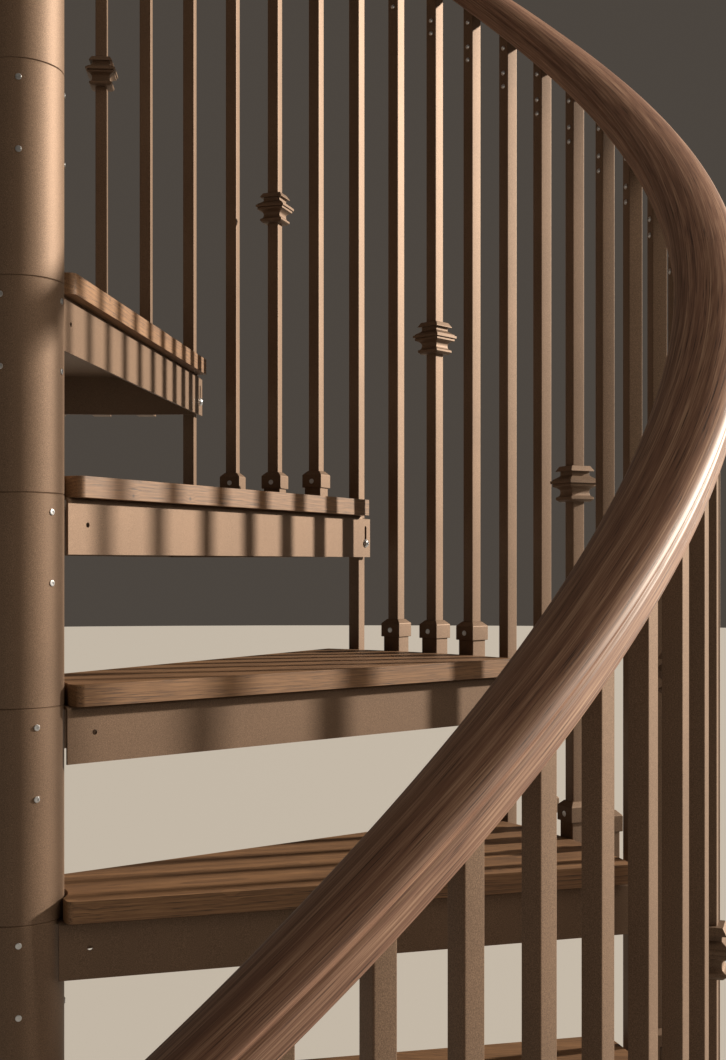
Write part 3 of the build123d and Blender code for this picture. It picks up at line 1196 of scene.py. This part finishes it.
@dataclass(frozen=True)
class Column:
    """Base plate, pole and capped top of the column that the sleeves are threaded on."""

    climb: Climb
    sleeve: Sleeve
    coat: Material
    zinc: Material
    base_radius: float = 140.0
    base_edge: float = 2.0
    cap_thickness: float = 12.0
    cap_edge: float = 4.0
    anchor_circle: float = 112.0
    anchor_hole: float = 7.0
    anchor_start: float = 45.0
    anchors: int = 4
    washer_radius: float = 12.0
    washer_top: float = 2.5
    bolt_radius: float = 9.5
    bolt_top: float = 10.0
    bolt_edge: float = 0.9

    @property
    def top(self) -> float:
        """Height of the last seam, under the cap."""
        return (self.climb.treads + 1) * self.climb.riser - self.sleeve.seam_drop

    def anchor_places(self) -> list[Vector]:
        """Centres of the anchor bolts, on the top of the base plate."""
        turns = [self.anchor_start + 360.0 * at / self.anchors for at in range(self.anchors)]
        return [heading(turn) * self.anchor_circle + up(self.climb.base) for turn in turns]

    def base_plate(self) -> Mesh:
        """Round plate with an eased rim and four holes."""
        thickness = self.climb.base
        plate = drum(self.base_radius, 0.0, thickness, 128)
        for place in self.anchor_places():
            hole = drum(self.anchor_hole, -thickness - PAST, PAST, 32)
            plate = cut_away(plate, moved(hole, Matrix.Translation(place)))
        rim = self.base_radius - TOUCH * 10

        def is_rim(edge: BMEdge) -> bool:
            """Whether an edge belongs to the upper rim."""
            return is_level(edge, thickness) and min(vert.co.xy.length for vert in edge.verts) > rim

        round_edges(plate, is_rim, self.base_edge, 3)
        return finish_mesh(plate, "base_plate", sharp=35.0)

    def head(self) -> Mesh:
        """Last sleeve and its cap, in one turned outline with a fine seam between them."""
        low = self.top - self.climb.riser
        outside = self.sleeve.radius
        cap = self.top + self.cap_thickness
        edge = self.sleeve.seam_edge
        arc = [heading(turn) * self.cap_edge for turn in range(0, 91, 15)]
        outline = [
            (0.0, self.top),
            (self.sleeve.inside, self.top),
            (self.sleeve.inside, low),
            (outside - edge, low),
            (outside, low + edge),
            (outside, self.top - edge / 2),
            (outside - edge / 2, self.top),
            (outside, self.top + edge / 2),
            *[(outside - self.cap_edge + place.x, cap - self.cap_edge + place.y) for place in arc],
            (0.0, cap),
        ]
        return finish_mesh(turned_ring(outline, ROUND, closed=False), "column_head", sharp=30.0)

    def bolts(self) -> Mesh:
        """Hexagon anchor bolts with round washers, in the holes of the base plate."""
        parts = []
        for place in self.anchor_places():
            washer = drum(self.washer_radius, 0.0, self.washer_top, 32)
            head = drum(self.bolt_radius, self.washer_top, self.bolt_top, 6)
            round_edges(head, lambda edge: is_level(edge, self.bolt_top), self.bolt_edge, 2)
            parts += [moved(part, Matrix.Translation(place)) for part in (washer, head)]
        return finish_mesh(merge(parts), "anchors")

    def build(self) -> None:
        """Put the base plate, the head and the anchor bolts in place."""
        unit = Matrix.Scale(METRES, 4)
        show_piece(self.base_plate(), unit, "floor_plate", self.coat, Slot.BRONZE, "base_plate")
        show_piece(self.head(), unit, "column_head", self.coat, Slot.BRONZE, "column_top")
        show_piece(self.bolts(), unit, "anchor_bolts", self.zinc, Slot.ZINC)
        for held in bpy.data.objects["centre_pole"].material_slots:
            held.material = self.zinc


@dataclass(frozen=True)
class Fasteners:
    """Every small zinc-plated screw and bolt, gathered in one piece for each tread."""

    climb: Climb
    plan: TreadPlan
    zinc: Material
    balusters: Balusters
    carrier: Carrier
    column_screw: Screw = Screw(3.2, 0.9, 1.5)
    grub_screw: Screw = Screw(3.6, 0.5, 1.9)
    rail_screw: Screw = Screw(3.2, 1.9, 1.4, dome=1.2)
    ear_bolt: Screw = Screw(6.0, 3.8, 2.6, dome=2.4, steps=24)
    board_screw: Screw = Screw(4.2, 2.2, 1.6, dome=1.2)
    screw_drops: tuple[float, ...] = (19.0, 90.4)
    screw_turns: tuple[float, ...] = (-90.0, 180.0, 90.0, 0.0)
    rail_screw_drops: tuple[float, ...] = (19.0, 52.0, 69.8)
    board_screw_places: tuple[float, ...] = (150.0, 380.0, 610.0)
    board_screw_inset: float = 22.0

    def on_column(self) -> list[BMesh]:
        """Screws that hold the sleeve to the pole, in pairs below its upper seam."""
        sleeve = self.carrier.column
        ways = [heading(turn) for turn in self.screw_turns]
        drops = [up(sleeve.seam_drop + drop) for drop in self.screw_drops]
        screw = self.column_screw
        return [screw.facing(way * sleeve.radius - drop, way) for way in ways for drop in drops]

    def inside_bar(self, screw: Screw, index: int, half: float, height: float) -> BMesh:
        """One screw in the inner face of a bar or a clamp that is twice half wide."""
        at_bar = self.climb.at_bar(index)
        return screw.facing(at_bar @ Vector((-half, 0.0, height)), at_bar.to_3x3() @ -heading(0.0))

    def on_bars(self, indices: Iterable[int]) -> list[BMesh]:
        """Screws in the inner faces of the bars, just below the handrail."""
        half = self.balusters.bar / 2
        return [
            self.inside_bar(self.rail_screw, index, half, self.climb.under_rail(index) - drop)
            for index in indices
            for drop in self.rail_screw_drops
        ]

    def on_clamps(self) -> list[BMesh]:
        """Grub screws in the inner faces of the clamps."""
        held = self.balusters
        height = held.post_rise + (held.clamp_height - held.clamp_chamfer) / 2
        short = range(1, self.climb.bars_per_tread)
        return [self.inside_bar(self.grub_screw, index, held.clamp / 2, height) for index in short]

    def on_ear(self) -> BMesh:
        """Domed bolt through the ear into the tall baluster."""
        reach = self.carrier.along(self.climb.bolt_circle, self.carrier.front)
        place = self.plan.edge_place(Side.FRONT, self.carrier.front, reach)
        outwards = self.plan.edge_normal(Side.FRONT)
        return self.ear_bolt.facing(place - up(self.climb.bolt_drop), outwards)

    def under_board(self) -> list[BMesh]:
        """Wood screws that come up through the tray into the board."""
        parts = []
        height = self.carrier.top - self.carrier.sheet
        for side, edge in ((Side.FRONT, self.carrier.front), (Side.REAR, self.carrier.rear)):
            for along in self.board_screw_places:
                place = self.plan.edge_place(side, edge - self.board_screw_inset, along)
                parts.append(self.board_screw.facing(place + up(height), up(-1.0)))
        return parts

    def build(self) -> None:
        """Gather the screws of each tread and put them in place."""
        bars = self.on_bars(range(self.climb.bars_per_tread))
        parts = [*self.on_column(), *bars, *self.on_clamps(), self.on_ear(), *self.under_board()]
        usual = finish_mesh(merge(parts), "screws_master", sharp=50.0)
        last = finish_mesh(merge([*self.on_bars([0]), self.on_ear()]), "last_screws", sharp=50.0)
        for step in range(self.climb.treads + 1):
            top = step == self.climb.treads
            name = "zinc_screws_top" if top else f"zinc_screws_{step + 1:02d}"
            show_piece(last if top else usual, self.climb.place(step), name, self.zinc, Slot.ZINC)


@dataclass(frozen=True)
class Lamp:
    """A distant lamp; its turn, its height over the horizon and its spread are in degrees."""

    name: str
    turn: float
    rise: float
    strength: float
    spread: float
    colour: str

    def build(self) -> None:
        """Hang the lamp."""
        lamp = bpy.data.lights.new(self.name, "SUN")
        lamp.energy = self.strength
        lamp.angle = math.radians(self.spread)
        lamp.color = linear(self.colour)[:3]
        hung = add_object(self.name, lamp)
        hung.rotation_euler = (math.radians(90.0 - self.rise), 0.0, math.radians(90.0 + self.turn))


@dataclass(frozen=True)
class Studio:
    """Plain pale floor, soft light and the camera of the photograph."""

    floor_radius: float = 30.0
    camera_place: tuple[float, float, float] = (-0.021671, -1.448766, 1.4140)
    camera_turn: float = -14.945
    lens: float = 46.725
    sensor: float = 36.0
    shift_up: float = 0.0315
    key: Lamp = Lamp("key_light", turn=2.0, rise=20.0, strength=8.0, spread=2.5, colour="#FFF1DF")
    fill: Lamp = Lamp(
        "fill_light", turn=-40.0, rise=38.0, strength=1.3, spread=35.0, colour="#FFEBD2"
    )
    sky_colour: str = "#DCCCBC"
    sky_strength: float = 0.1

    def floor(self) -> None:
        """Lay the floor."""
        made = bmesh.new()
        bmesh.ops.create_circle(made, cap_ends=True, segments=ROUND, radius=self.floor_radius)
        mesh = as_mesh(made, "floor")
        mesh.materials.append(StudioFloor().build())
        floor = add_object("floor", mesh)

    def light(self) -> None:
        """Hang a warm key light low on the camera's right, a wide soft fill and a pale sky."""
        for lamp in (self.key, self.fill):
            lamp.build()
        world = bpy.data.worlds.new("studio")
        world.use_nodes = True
        sky = world.node_tree.nodes["Background"]
        sky.inputs["Color"].default_value = linear(self.sky_colour)
        sky.inputs["Strength"].default_value = self.sky_strength
        bpy.context.scene.world = world
        bpy.context.scene.view_settings.view_transform = "Standard"

    def camera(self) -> None:
        """Stand the camera where the photograph was taken."""
        data = bpy.data.cameras.new("camera")
        data.lens = self.lens
        data.sensor_width = self.sensor
        data.sensor_fit = "AUTO"
        data.shift_y = self.shift_up
        data.clip_start = 0.02
        camera = add_object("camera", data)
        camera.location = self.camera_place
        camera.rotation_euler = (math.radians(90.0), 0.0, math.radians(self.camera_turn))
        bpy.context.scene.camera = camera

    def build(self) -> None:
        """Set up the floor, the light and the camera."""
        self.floor()
        self.light()
        self.camera()


def main() -> None:
    """Build the staircase from the floor up, then the studio round it."""
    logging.basicConfig(level=logging.INFO, format="%(message)s")
    climb = Climb()
    plan = TreadPlan()
    coat = PowderCoat().build()
    zinc = ZincPlate().build()
    board_oak = OiledOak(
        name="oiled_oak_treads", pale="#8A6848", middle="#6E5035", deep="#452F1F", pore="#2B1C12"
    )
    rail_oak = OiledOak(
        name="stained_oak_handrail",
        pale="#A0846F",
        middle="#745545",
        deep="#432C23",
        pore="#251610",
        ring_mm=3.2,
        ring_share=0.22,
        arch_mm=(1400.0, 60.0, 60.0),
        arch_height_mm=9.0,
        pore_mm=(55.0, 1.0, 1.0),
        band_mm=(600.0, 9.0, 9.0),
        band_share=0.75,
        knot_level=0.0,
        swirl_level=0.0,
        fibre_share=1.2,
        roughness=0.5,
    )
    sleeve = Sleeve()
    carrier = Carrier(plan, climb, sleeve, coat)
    balusters = Balusters(climb, carrier, coat)
    Column(climb, sleeve, coat, zinc).build()
    carrier.build()
    OakBoard(plan, climb, board_oak).build()
    balusters.build()
    Handrail(climb, rail_oak).build()
    Fasteners(climb, plan, zinc, balusters, carrier).build()
    Studio().build()


if __name__ == "__main__":
    main()
